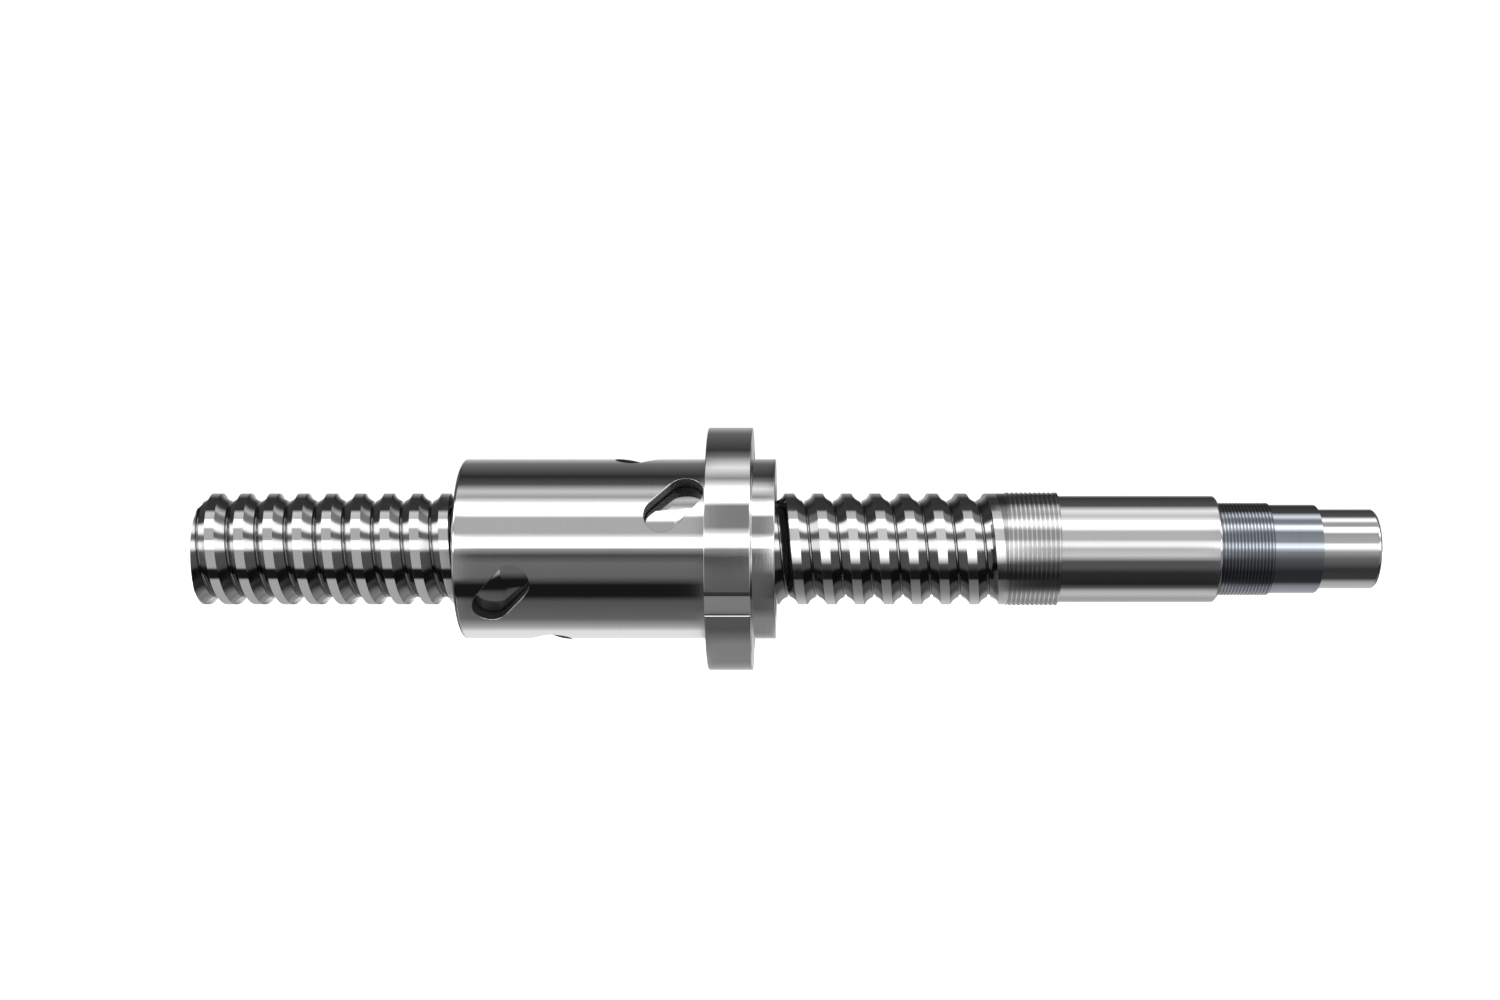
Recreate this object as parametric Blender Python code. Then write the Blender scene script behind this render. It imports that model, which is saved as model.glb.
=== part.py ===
"""Single-nut flanged ball screw, right-hand, 39 mm thread, 10 mm lead.

World frame: metres, +Z up.  The screw axis is the X axis and the origin is at
mid length.  +X points to the drive end.  Angles written "theta" run about the
screw axis from -Y (theta = 0) over +Z (theta = 90 degrees), so a point is
(x, -r cos theta, r sin theta).
"""
import bpy
import bmesh
from math import sin, cos, pi, radians, sqrt, hypot, acos
from mathutils import Vector, Matrix

MM = 0.001

# ------------------------------------------------------------ driving sizes
LEAD = 10.0                 # right-hand, one start
SCREW_R = 19.5              # crest radius of the ball thread
ROOT_R = 16.95              # floor of the groove
CREST_HALF = 1.65           # half width of the land between two grooves
X_LEFT, X_RIGHT = -204.5, 204.5
CREST_X0, CREST_T0 = -96.58, -30.0      # the crest passes this x at this theta
GROOVE_END_X = 70.6         # the groove starts to run out here
GROOVE_FADE_X = 73.2        # and is gone here

BALL_R = 3.175              # 6.35 mm ball
BALL_PITCH_R = 20.4         # ball centres on the screw
BALL_BODY_R = 2.85          # ball stand-in, with running clearance
BALLS = 20                  # balls in one circuit

NUT_R = 31.5
NUT_LEFT, NUT_RIGHT = -113.1, -4.5
FLANGE_R = 42.5
FLANGE_LEFT, FLANGE_RIGHT = -27.8, -12.5
NUT_BORE_R = 20.2
NUT_GROOVE_R = 24.1
NUT_CREST_HALF = 1.5
END_BORE_R = 24.5           # counterbore for a wiper
END_BORE_DEPTH = 5.1
RING_GROOVE_R = 25.6
RING_GROOVE_W = 1.3
RING_GROOVE_IN = 0.6        # from the nut's end face

BOLT_CIRCLE_R = 37.0
BOLT_R = 3.3
BOLTS = 6

DEFLECTORS = 6
SLOT_STEP_X, SLOT_STEP_T = 11.6667, -60.0
SLOT_LONG, SLOT_WIDE = 24.0, 12.2       # obround window in the nut wall
SLOT_ANGLE = 49.3                       # of its long axis to the screw axis
SLOT_SHIFT = -0.45                      # window centre from the crossing's, along X
FIT = 0.3                               # gap round an insert
INSERT_OUT_R = 26.7
INSERT_IN_R = 20.0
CROSS_HALF_T = 18.0                     # the return crosses the land over +-18 degrees
CROSS_LIFT = 2.5                        # how far a ball is lifted over the land
CHANNEL_R = 3.2

RIM_GROOVE_T = -25.7                    # milled groove across the flange rim
RIM_GROOVE_W, RIM_GROOVE_D = 8.8, 1.2
PORT_T, PORT_X, PORT_R = 150.0, -20.0, 3.9
PLUG_R = 3.55

# stepped drive end: (x, radius)
JOURNAL = [(70.0, 15.0), (75.3, 15.0), (75.3, 19.8), (93.5, 19.8), (93.5, 18.6),
           (148.1, 18.6), (148.7, 18.0), (148.7, 16.15), (167.1, 16.15),
           (167.1, 15.5), (183.6, 15.5), (184.1, 15.0), (184.1, 13.9),
           (203.5, 13.9), (204.5, 12.9)]

# ------------------------------------------------------------------ helpers
for ob in list(bpy.data.objects):
    bpy.data.objects.remove(ob, do_unlink=True)
for me in list(bpy.data.meshes):
    bpy.data.meshes.remove(me)

scene = bpy.context.scene
coll = scene.collection


def polar(x, r, t):
    """World point in metres from x, radius (mm) and theta (degrees)."""
    a = radians(t)
    return Vector((x * MM, -r * cos(a) * MM, r * sin(a) * MM))


def material(name, colour, rough, metal):
    mat = bpy.data.materials.new(name)
    mat.use_nodes = True
    bsdf = mat.node_tree.nodes["Principled BSDF"]
    bsdf.inputs["Base Color"].default_value = (*colour, 1.0)
    bsdf.inputs["Roughness"].default_value = rough
    bsdf.inputs["Metallic"].default_value = metal
    mat.diffuse_color = (*colour, 1.0)
    return mat


STEEL = {
    "ground": ((0.60, 0.61, 0.61), 0.18),
    "turned": ((0.52, 0.53, 0.53), 0.26),
    "dark": ((0.16, 0.17, 0.17), 0.30),
    "ball": ((0.72, 0.72, 0.73), 0.08),
    "spring": ((0.20, 0.19, 0.18), 0.40),
}


def make_object(name, bm, colour, rough, metal, parent=None, cutter=False, origin=(0, 0, 0)):
    bmesh.ops.recalc_face_normals(bm, faces=bm.faces[:])
    volume = bm.calc_volume(signed=True)
    if volume < 0:
        bmesh.ops.reverse_faces(bm, faces=bm.faces[:])
    me = bpy.data.meshes.new(name)
    offset = Vector(origin) * MM
    bm.transform(Matrix.Translation(-offset))
    bm.to_mesh(me)
    bm.free()
    ob = bpy.data.objects.new(name, me)
    ob.location = offset
    coll.objects.link(ob)
    if cutter:
        ob.hide_render = True
        ob.display_type = "WIRE"
    else:
        me.materials.append(material(name + "_mat", colour, rough, metal))
        me.shade_smooth()
        me.set_sharp_from_angle(angle=radians(28))
    if parent is not None:
        ob.parent = parent
    return ob


def cutter(name, bm):
    return make_object(name, bm, None, 0, 0, cutter=True)


def cut(ob, tool, operation="DIFFERENCE"):
    mod = ob.modifiers.new(operation.lower() + "_" + tool.name, "BOOLEAN")
    mod.operation = operation
    mod.solver = "EXACT"
    mod.object = tool
    return mod


def revolve(profile, segs, turn=0.0):
    """Closed solid of revolution about X.

    profile is a list of (x, r).  An open profile is closed to the axis with
    flat end faces; a closed one (first point repeated) makes a ring.
    """
    bm = bmesh.new()
    ring = profile[0] == profile[-1]
    pts = profile[:-1] if ring else profile
    rows = [[bm.verts.new(polar(x, r, turn + 360.0 * s / segs)) for s in range(segs)]
            for x, r in pts]
    pairs = list(zip(rows, rows[1:]))
    if ring:
        pairs.append((rows[-1], rows[0]))
    for a, b in pairs:
        for s in range(segs):
            n = (s + 1) % segs
            bm.faces.new((a[s], a[n], b[n], b[s]))
    if not ring:
        bm.faces.new(rows[0])
        bm.faces.new(rows[-1])
    return bm


def cap(bm, x, side):
    """Cut the mesh off at plane x and close it with one flat face."""
    plane = x * MM
    for v in bm.verts:
        if abs(v.co.x - plane) < 0.04 * MM:
            v.co.x = plane
    bmesh.ops.bisect_plane(bm, geom=bm.verts[:] + bm.edges[:] + bm.faces[:], dist=1e-7,
                           plane_co=(plane, 0, 0), plane_no=(side, 0, 0), clear_outer=True)
    edge = [e for e in bm.edges if e.is_boundary
            and all(abs(v.co.x - plane) < 1e-6 for v in e.verts)]
    bmesh.ops.contextual_create(bm, geom=edge)


def thread_rod(x0, x1, columns, segs, depth=None):
    """Rod with a helical profile.

    columns is [(offset from the crest line, radius)] over one lead.  depth
    maps an axial position to a factor that fades the groove into the land.
    """
    bm = bmesh.new()
    land = columns[0][1]
    turns = range(int((x0 - CREST_X0) / LEAD) - 3, int((x1 - CREST_X0) / LEAD) + 4)
    grid = {}
    for s in range(segs):
        t = 360.0 * s / segs
        base = CREST_X0 - LEAD * (t - CREST_T0) / 360.0
        for n in turns:
            for c, (off, r) in enumerate(columns):
                x = base + off + LEAD * n
                if depth is not None and r != land:
                    r = land + (r - land) * depth(base + LEAD * n + LEAD / 2)
                grid[s, n, c] = bm.verts.new(polar(x, r, t))
    k = len(columns)

    def vert(s, m):
        n, c = divmod(m, k)
        if s == segs:                       # one full turn on: same line, one lead back
            s, n = 0, n - 1
        return grid.get((s, n, c))

    first, last = turns[0] * k, (turns[-1] + 1) * k
    for s in range(segs):
        for m in range(first, last - 1):
            quad = [vert(s, m), vert(s, m + 1), vert(s + 1, m + 1), vert(s + 1, m)]
            if None not in quad:
                bm.faces.new(quad)
    cap(bm, x0, -1)
    cap(bm, x1, 1)
    loose = [v for v in bm.verts if not v.link_faces]
    bmesh.ops.delete(bm, geom=loose, context="VERTS")
    return bm


def tube(points, sections, closed):
    """Loft closed sections (lists of Vector) in order; cap the ends if open."""
    bm = bmesh.new()
    rows = [[bm.verts.new(p) for p in sec] for sec in sections]
    count = len(rows)
    m = len(rows[0])
    for i in range(count if closed else count - 1):
        a, b = rows[i], rows[(i + 1) % count]
        for s in range(m):
            n = (s + 1) % m
            bm.faces.new((a[s], a[n], b[n], b[s]))
    if not closed:
        bm.faces.new(rows[0])
        bm.faces.new(rows[-1])
    return bm


def slot_frame(t):
    """Local axes at theta t: outward normal and the tangent of rising theta."""
    a = radians(t)
    return Vector((0, -cos(a), sin(a))), Vector((0, sin(a), cos(a)))


def obround(xk, tk, long, wide, n0, n1, arc=8):
    """Prism with an obround section set at SLOT_ANGLE, along the normal at theta tk."""
    normal, tangent = slot_frame(tk)
    lean = radians(SLOT_ANGLE)
    axis = Vector((1, 0, 0)) * cos(lean) + tangent * sin(lean)
    across = normal.cross(axis)
    half, rad = (long - wide) / 2, wide / 2
    outline = []
    for side in (1, -1):
        for i in range(arc + 1):
            a = pi * (i / arc) - pi / 2
            outline.append((side * (half + rad * cos(a)), side * rad * sin(a)))
    rows = []
    for n in (n0, n1):
        centre = Vector((xk + SLOT_SHIFT, 0, 0)) + normal * n
        rows.append([(centre + axis * u + across * v) * MM for u, v in outline])
    return tube(None, rows, False)


def ball_path(u):
    """Ball centre on one circuit, u in 0..1: (theta - theta_k, x - x_k, r)."""
    delta = CROSS_HALF_T
    arc = 360.0 - 2 * delta
    helix = hypot(radians(arc) * BALL_PITCH_R, LEAD * arc / 360.0)
    over = 13.4
    s = u * (helix + over)
    if s < helix:
        t = delta + arc * s / helix
        return t, LEAD / 2 - LEAD * t / 360.0, BALL_PITCH_R
    w = (s - helix) / over
    x_lo = -LEAD / 2 + LEAD * delta / 360.0
    x_hi = -x_lo
    slope = -LEAD * 2 * delta / 360.0
    h00, h10 = 2 * w ** 3 - 3 * w ** 2 + 1, w ** 3 - 2 * w ** 2 + w
    h01, h11 = -2 * w ** 3 + 3 * w ** 2, w ** 3 - w ** 2
    x = h00 * x_lo + h10 * slope + h01 * x_hi + h11 * slope
    lift = CROSS_LIFT * (0.5 - 0.5 * cos(2 * pi * w)) ** 0.6
    return 360.0 - delta + 2 * delta * w, x, BALL_PITCH_R + lift


def path_point(u, xk, tk):
    t, x, r = ball_path(u % 1.0)
    return polar(xk + x, r, tk + t), slot_frame(tk + t)[0]


# ------------------------------------------------------------- screw shaft
rig = bpy.data.objects.new("screw_axis", None)
rig.empty_display_size = 0.03
coll.objects.link(rig)
nut_rig = bpy.data.objects.new("nut_axis", None)
nut_rig.empty_display_size = 0.03
nut_rig.parent = rig
coll.objects.link(nut_rig)

SCREW_COLUMNS = [(-CREST_HALF, SCREW_R), (CREST_HALF, SCREW_R),
                 (LEAD / 2 - 2.0, ROOT_R), (LEAD / 2 + 2.0, ROOT_R)]


def groove_depth(x):
    if x <= GROOVE_END_X:
        return 1.0
    return max(0.0, 1.0 - (x - GROOVE_END_X) / (GROOVE_FADE_X - GROOVE_END_X))


bm = thread_rod(X_LEFT, 78.0, SCREW_COLUMNS, 18, groove_depth)
screw = make_object("screw_shaft", bm, *STEEL["ground"], 1.0, parent=rig)
journal = cutter("journal_add", revolve(JOURNAL, 32))
cut(screw, journal, "UNION")
centre = [(X_RIGHT + 1.0, 5.0), (X_RIGHT - 3.4, 2.0), (X_RIGHT - 7.5, 2.0), (X_RIGHT - 8.4, 0.6)]
cut(screw, cutter("centre_right", revolve(centre, 12)))
centre = [(X_LEFT - 1.0, 5.0), (X_LEFT + 3.4, 2.0), (X_LEFT + 7.5, 2.0), (X_LEFT + 8.4, 0.6)]
cut(screw, cutter("centre_left", revolve(centre, 12)))

# ---------------------------------------------------------------- nut body
inner = NUT_BORE_R - 0.6
gl0 = NUT_LEFT + RING_GROOVE_IN
gr0 = NUT_RIGHT - RING_GROOVE_IN
NUT_PROFILE = [
    (NUT_LEFT, NUT_R - 1.0), (NUT_LEFT + 1.0, NUT_R), (FLANGE_LEFT, NUT_R),
    (FLANGE_LEFT, FLANGE_R - 0.3), (FLANGE_LEFT + 0.3, FLANGE_R),
    (FLANGE_RIGHT - 0.3, FLANGE_R), (FLANGE_RIGHT, FLANGE_R - 0.3), (FLANGE_RIGHT, NUT_R),
    (NUT_RIGHT - 0.3, NUT_R), (NUT_RIGHT, NUT_R - 0.3),
    (NUT_RIGHT, END_BORE_R), (gr0, END_BORE_R), (gr0, RING_GROOVE_R),
    (gr0 - RING_GROOVE_W, RING_GROOVE_R), (gr0 - RING_GROOVE_W, END_BORE_R),
    (NUT_RIGHT - END_BORE_DEPTH, END_BORE_R), (NUT_RIGHT - END_BORE_DEPTH, inner),
    (NUT_LEFT + END_BORE_DEPTH, inner), (NUT_LEFT + END_BORE_DEPTH, END_BORE_R),
    (gl0 + RING_GROOVE_W, END_BORE_R), (gl0 + RING_GROOVE_W, RING_GROOVE_R),
    (gl0, RING_GROOVE_R), (gl0, END_BORE_R), (NUT_LEFT, END_BORE_R),
    (NUT_LEFT, NUT_R - 1.0)]
nut = make_object("nut_body", revolve(NUT_PROFILE, 40), *STEEL["ground"], 1.0, parent=nut_rig)

NUT_COLUMNS = [(-NUT_CREST_HALF, NUT_BORE_R), (NUT_CREST_HALF, NUT_BORE_R),
               (LEAD / 2 - 2.0, NUT_GROOVE_R), (LEAD / 2 + 2.0, NUT_GROOVE_R)]
tool = cutter("nut_thread_cut", thread_rod(NUT_LEFT + 4.0, NUT_RIGHT - 4.0, NUT_COLUMNS, 16))
cut(nut, tool)

SLOTS = [(CREST_X0 + SLOT_STEP_X * k, CREST_T0 + SLOT_STEP_T * k) for k in range(DEFLECTORS)]
for k, (xk, tk) in enumerate(SLOTS):
    cut(nut, cutter(f"slot_cut_{k + 1}", obround(xk, tk, SLOT_LONG, SLOT_WIDE, 17.0, 34.0)))

for i in range(BOLTS):
    t = 360.0 * i / BOLTS
    hole = revolve([(FLANGE_LEFT - 1, BOLT_R), (FLANGE_RIGHT + 1, BOLT_R)], 12, 8.0)
    bmesh.ops.translate(hole, vec=polar(0, BOLT_CIRCLE_R, t), verts=hole.verts[:])
    cut(nut, cutter(f"bolt_hole_cut_{i + 1}", hole))


def radial_box(t, x0, x1, wide, r0, r1):
    normal, tangent = slot_frame(t)
    rows = []
    for x in (x0, x1):
        rows.append([(Vector((x, 0, 0)) + tangent * a + normal * b) * MM
                     for a, b in ((-wide / 2, r0), (wide / 2, r0), (wide / 2, r1), (-wide / 2, r1))])
    return tube(None, rows, False)


def radial_cylinder(t, x, radius, r0, r1, segs=16, turn=0.0):
    normal, tangent = slot_frame(t)
    rows = []
    for r in (r0, r1):
        rows.append([(Vector((x, 0, 0)) + normal * r
                      + Vector((1, 0, 0)) * radius * cos(2 * pi * i / segs + turn)
                      + tangent * radius * sin(2 * pi * i / segs + turn)) * MM
                     for i in range(segs)])
    return tube(None, rows, False)


cut(nut, cutter("rim_groove_cut", radial_box(
    RIM_GROOVE_T, FLANGE_LEFT - 1, FLANGE_RIGHT + 1, RIM_GROOVE_W, FLANGE_R - RIM_GROOVE_D, FLANGE_R + 2)))
cut(nut, cutter("port_cut", radial_cylinder(PORT_T, PORT_X, PORT_R, 21.0, FLANGE_R + 2, 16)))

# ------------------------------------------------ deflectors and their balls
for k, (xk, tk) in enumerate(SLOTS):
    insert = make_object(
        f"deflector_{k + 1}",
        obround(xk, tk, SLOT_LONG - 2 * FIT, SLOT_WIDE - 2 * FIT, 14.0, 30.5, 6),
        *STEEL["dark"], 1.0, parent=nut_rig)
    span = 16.0
    outer = cutter(f"insert_top_{k + 1}", revolve(
        [(xk - span, INSERT_OUT_R), (xk + span, INSERT_OUT_R)], 40, tk + 4.5))
    cut(insert, outer, "INTERSECT")
    core = cutter(f"insert_bore_{k + 1}", revolve(
        [(xk - span - 1, INSERT_IN_R), (xk + span + 1, INSERT_IN_R)], 40, tk + 4.5))
    cut(insert, core)
    sections = []
    steps = 18
    for i in range(steps + 1):
        t = -38.0 + 76.0 * i / steps

        def channel(t):
            """Channel centre (x, r) where the circuit passes this angle."""
            if abs(t) >= CROSS_HALF_T:
                side = -1 if t < 0 else 1
                return side * LEAD / 2 - LEAD * t / 360.0, BALL_PITCH_R
            w = (t + CROSS_HALF_T) / (2 * CROSS_HALF_T)
            x_lo = -LEAD / 2 + LEAD * CROSS_HALF_T / 360.0
            slope = -LEAD * 2 * CROSS_HALF_T / 360.0
            h00, h10 = 2 * w ** 3 - 3 * w ** 2 + 1, w ** 3 - 2 * w ** 2 + w
            h01, h11 = -2 * w ** 3 + 3 * w ** 2, w ** 3 - w ** 2
            return (h00 * x_lo + h10 * slope - h01 * x_lo + h11 * slope,
                    BALL_PITCH_R + CROSS_LIFT * (0.5 - 0.5 * cos(2 * pi * w)) ** 0.6)

        xa, _ = channel(t - 0.5)
        xb, _ = channel(t + 0.5)
        x, r = channel(t)
        normal, tangent = slot_frame(tk + t)
        along = (Vector((xb - xa, 0, 0)) + tangent * radians(1.0) * r).normalized()
        side = along.cross(normal)
        middle = polar(xk + x, r, tk + t)
        low = r - 17.0
        shape = [(-CHANNEL_R, -low), (CHANNEL_R, -low)]
        shape += [(CHANNEL_R * cos(pi * j / 6), CHANNEL_R * sin(pi * j / 6)) for j in range(7)]
        sections.append([middle + (side * a + normal * b) * MM for a, b in shape])
    cut(insert, cutter(f"channel_cut_{k + 1}", tube(None, sections, False)))

    stations = []
    count = BALLS * 2
    for i in range(count):
        u = i / count
        p, normal = path_point(u, xk, tk)
        ahead, _ = path_point(u + 0.004, xk, tk)
        behind, _ = path_point(u - 0.004, xk, tk)
        along = (ahead - behind).normalized()
        side = along.cross(normal).normalized()
        up = side.cross(along)
        rad = BALL_BODY_R if i % 2 == 0 else 1.3
        stations.append([p + (side * cos(2 * pi * j / 6) + up * sin(2 * pi * j / 6)) * rad * MM
                         for j in range(6)])
    make_object(f"ball_train_{k + 1}", tube(None, stations, True), *STEEL["ball"], 1.0,
                parent=nut_rig)

# ------------------------------------------- wipers and their retaining rings
WIPER_IN_R = 20.1
for side, face, sign in (("left", NUT_LEFT, 1), ("right", NUT_RIGHT, -1)):
    a = face + sign * (RING_GROOVE_IN + RING_GROOVE_W + 0.3)
    b = face + sign * (END_BORE_DEPTH - FIT)
    wiper = [(a, WIPER_IN_R + 0.8), (a, END_BORE_R - 0.4), (b, END_BORE_R - 0.4), (b, WIPER_IN_R),
             (a + sign * 1.2, WIPER_IN_R), (a, WIPER_IN_R + 0.8)]
    make_object(f"wiper_{side}", revolve(wiper, 32), (0.03, 0.03, 0.032), 0.55, 0.0,
                parent=nut_rig)

    # open snap ring: a flat C with two lugs
    x0 = face + sign * (RING_GROOVE_IN + 0.25)
    x1 = face + sign * (RING_GROOVE_IN + RING_GROOVE_W - 0.25)
    arc = 28
    outline = []
    for i in range(arc + 1):
        t = 96.0 + 348.0 * i / arc
        outline.append((25.25, t))
    outline.append((21.4, 84.0))
    outline.append((21.4, 77.0))
    for i in range(arc + 1):
        t = 74.0 - 328.0 * i / arc
        outline.append((22.9, t))
    outline.append((21.4, 103.0 - 360.0))
    outline.append((21.4, 96.0 - 360.0))
    rows = [[polar(x, r, t) for r, t in outline] for x in (x0, x1)]
    make_object(f"wiper_retaining_ring_{side}", tube(None, rows, False), *STEEL["spring"], 1.0,
                parent=rig)

# ------------------------------------------------------------ lubrication plug
plug = make_object("lube_port_plug",
                   radial_cylinder(PORT_T, PORT_X, PLUG_R, 33.5, 41.2, 16),
                   *STEEL["spring"], 1.0, parent=nut_rig)
cut(plug, cutter("plug_socket_cut", radial_cylinder(PORT_T, PORT_X, 2.3, 38.0, 43.0, 6)))
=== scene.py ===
"""Looks of the ball screw assembly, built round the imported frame."""

from math import sin, cos, pi, radians, degrees, sqrt, hypot, atan2, floor

import bmesh
import bpy
from mathutils import Matrix, Vector


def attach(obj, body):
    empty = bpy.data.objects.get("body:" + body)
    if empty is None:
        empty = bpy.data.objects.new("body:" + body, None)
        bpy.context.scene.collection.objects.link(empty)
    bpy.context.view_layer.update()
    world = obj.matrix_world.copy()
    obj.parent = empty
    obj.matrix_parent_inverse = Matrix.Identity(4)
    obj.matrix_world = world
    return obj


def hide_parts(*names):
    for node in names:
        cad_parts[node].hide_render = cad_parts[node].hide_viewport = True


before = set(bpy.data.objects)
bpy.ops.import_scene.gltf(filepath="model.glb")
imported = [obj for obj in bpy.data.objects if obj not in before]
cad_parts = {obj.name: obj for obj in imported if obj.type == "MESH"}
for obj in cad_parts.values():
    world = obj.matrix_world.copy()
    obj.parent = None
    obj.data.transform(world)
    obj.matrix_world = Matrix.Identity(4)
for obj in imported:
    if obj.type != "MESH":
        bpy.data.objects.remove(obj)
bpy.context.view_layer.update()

MM = 0.001
LEAD = 10.0
SCREW_R = 19.5
CREST_HALF = 1.66
CREST_X0, CREST_T0 = -96.58, -30.0
GROOVE_END_X, GROOVE_GONE_X = 70.6, 73.3
BALL_R, BALL_PITCH_R = 3.175, 20.4
NUT_R, FLANGE_R = 31.5, 42.5
NUT_LEFT, NUT_RIGHT = -113.1, -4.5
FLANGE_LEFT, FLANGE_RIGHT = -27.8, -12.5
INSERT_OUT_R, INSERT_IN_R = 26.7, 20.0
CROSS_HALF_T, CROSS_LIFT = 18.0, 2.5
SLOTS = [(CREST_X0 + 11.6667 * k, CREST_T0 - 60.0 * k) for k in range(6)]
SLOT_LONG, SLOT_WIDE, SLOT_ANGLE, SLOT_SHIFT = 24.0, 12.2, 49.3, -0.45
RECESS, RING_IN, RING_W = 5.1, 0.6, 1.3

coll = bpy.context.scene.collection


# ------------------------------------------------------------------ helpers
def polar(x, r, t):
    a = radians(t)
    return Vector((x * MM, -r * cos(a) * MM, r * sin(a) * MM))


def slot_frame(t):
    a = radians(t)
    return Vector((0, -cos(a), sin(a))), Vector((0, sin(a), cos(a)))


def finish_object(name, bm, mats, sharp=30.0, smooth=True):
    bmesh.ops.recalc_face_normals(bm, faces=bm.faces[:])
    if bm.calc_volume(signed=True) < 0:
        bmesh.ops.reverse_faces(bm, faces=bm.faces[:])
    me = bpy.data.meshes.new(name)
    bm.to_mesh(me)
    bm.free()
    ob = bpy.data.objects.new(name, me)
    coll.objects.link(ob)
    for m in (mats if isinstance(mats, (list, tuple)) else [mats]):
        me.materials.append(m)
    if smooth:
        me.shade_smooth()
        me.set_sharp_from_angle(angle=radians(sharp))
    return ob


def revolve_bm(profile, segs, turn=0.0, bm=None):
    """Solid of revolution about X; a ring when the profile closes on itself."""
    bm = bm or bmesh.new()
    ring = profile[0] == profile[-1]
    pts = profile[:-1] if ring else profile
    rows = [[bm.verts.new(polar(x, r, turn + 360.0 * s / segs)) for s in range(segs)]
            for x, r in pts]
    pairs = list(zip(rows, rows[1:]))
    if ring:
        pairs.append((rows[-1], rows[0]))
    for a, b in pairs:
        for s in range(segs):
            n = (s + 1) % segs
            bm.faces.new((a[s], a[n], b[n], b[s]))
    if not ring:
        bm.faces.new(rows[0])
        bm.faces.new(rows[-1])
    return bm


def rounded(points, radius=0.4, steps=3):
    """Profile with its listed corners eased: points are (x, r) or (x, r, ease)."""
    out = []
    n = len(points)
    for i, p in enumerate(points):
        e = p[2] if len(p) > 2 else radius
        if i in (0, n - 1) or e <= 0:
            out.append((p[0], p[1]))
            continue
        a, b = points[i - 1], points[i + 1]
        da = hypot(a[0] - p[0], a[1] - p[1])
        db = hypot(b[0] - p[0], b[1] - p[1])
        if da < 1e-6 or db < 1e-6:
            out.append((p[0], p[1]))
            continue
        ca, cb = min(e, da * 0.45), min(e, db * 0.45)
        pa = (p[0] + (a[0] - p[0]) * ca / da, p[1] + (a[1] - p[1]) * ca / da)
        pb = (p[0] + (b[0] - p[0]) * cb / db, p[1] + (b[1] - p[1]) * cb / db)
        for k in range(steps + 1):
            w = k / steps
            q = tuple((1 - w) ** 2 * pa[j] + 2 * w * (1 - w) * p[j] + w * w * pb[j] for j in (0, 1))
            out.append(q)
    return out


def loft_bm(sections, closed=False, bm=None, fan=False):
    bm = bm or bmesh.new()
    rows = [[bm.verts.new(p) for p in sec] for sec in sections]
    count, m = len(rows), len(rows[0])
    for i in range(count if closed else count - 1):
        a, b = rows[i], rows[(i + 1) % count]
        for s in range(m):
            n = (s + 1) % m
            bm.faces.new((a[s], a[n], b[n], b[s]))
    if not closed:
        for row in (rows[0], rows[-1]):
            face = bm.faces.new(row)
            if fan:
                bmesh.ops.triangulate(bm, faces=[face])
    return bm


def cutter(name, bm):
    ob = finish_object(name, bm, [], smooth=False)
    ob.hide_render = True
    ob.display_type = "WIRE"
    return ob


def boolean(ob, tools, operation="DIFFERENCE"):
    """Apply Booleans in order, then drop the cutters."""
    for tool in tools:
        mod = ob.modifiers.new("b", "BOOLEAN")
        mod.operation = operation
        mod.solver = "EXACT"
        mod.object = tool
    deps = bpy.context.evaluated_depsgraph_get()
    deps.update()
    me = bpy.data.meshes.new_from_object(ob.evaluated_get(deps), depsgraph=deps)
    ob.modifiers.clear()
    old = ob.data
    ob.data = me
    bpy.data.meshes.remove(old)
    for tool in tools:
        data = tool.data
        bpy.data.objects.remove(tool, do_unlink=True)
        if data.users == 0:
            bpy.data.meshes.remove(data)
    return ob


def turned_normals(ob, sharp=30.0, crown=None):
    """Exact normals on round faces, so cut-up cylinders still reflect cleanly."""
    me = ob.data
    me.shade_smooth()
    me.set_sharp_from_angle(angle=radians(sharp))
    normals = [Vector(c.vector) for c in me.corner_normals]
    for poly in me.polygons:
        n = poly.normal
        c = poly.center
        rad = Vector((0, c.y, c.z))
        if abs(n.x) > 0.999:
            for li in poly.loop_indices:
                normals[li] = n.copy()
        if rad.length < 1e-6 or abs(n.x) > 0.02:
            continue
        rad.normalize()
        d = n.dot(rad)
        if abs(d) < 0.999:
            continue
        if crown and hypot(c.y, c.z) < (crown - 0.1) * MM:
            continue
        for li in poly.loop_indices:
            v = me.vertices[me.loops[li].vertex_index].co
            w = Vector((0, v.y, v.z)).normalized()
            normals[li] = w if d > 0 else -w
    me.normals_split_custom_set(normals)


# ---------------------------------------------------------------- materials
def new_material(name):
    mat = bpy.data.materials.new(name)
    mat.use_nodes = True
    nt = mat.node_tree
    bsdf = nt.nodes["Principled BSDF"]
    return mat, nt, bsdf


def link(nt, a, b):
    nt.links.new(a, b)


def math_node(nt, op, a, b=None, c=None, clamp=False):
    node = nt.nodes.new("ShaderNodeMath")
    node.operation = op
    node.use_clamp = clamp
    for i, v in enumerate((a, b, c)):
        if v is None:
            continue
        if isinstance(v, (int, float)):
            node.inputs[i].default_value = v
        else:
            link(nt, v, node.inputs[i])
    return node.outputs[0]


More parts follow.
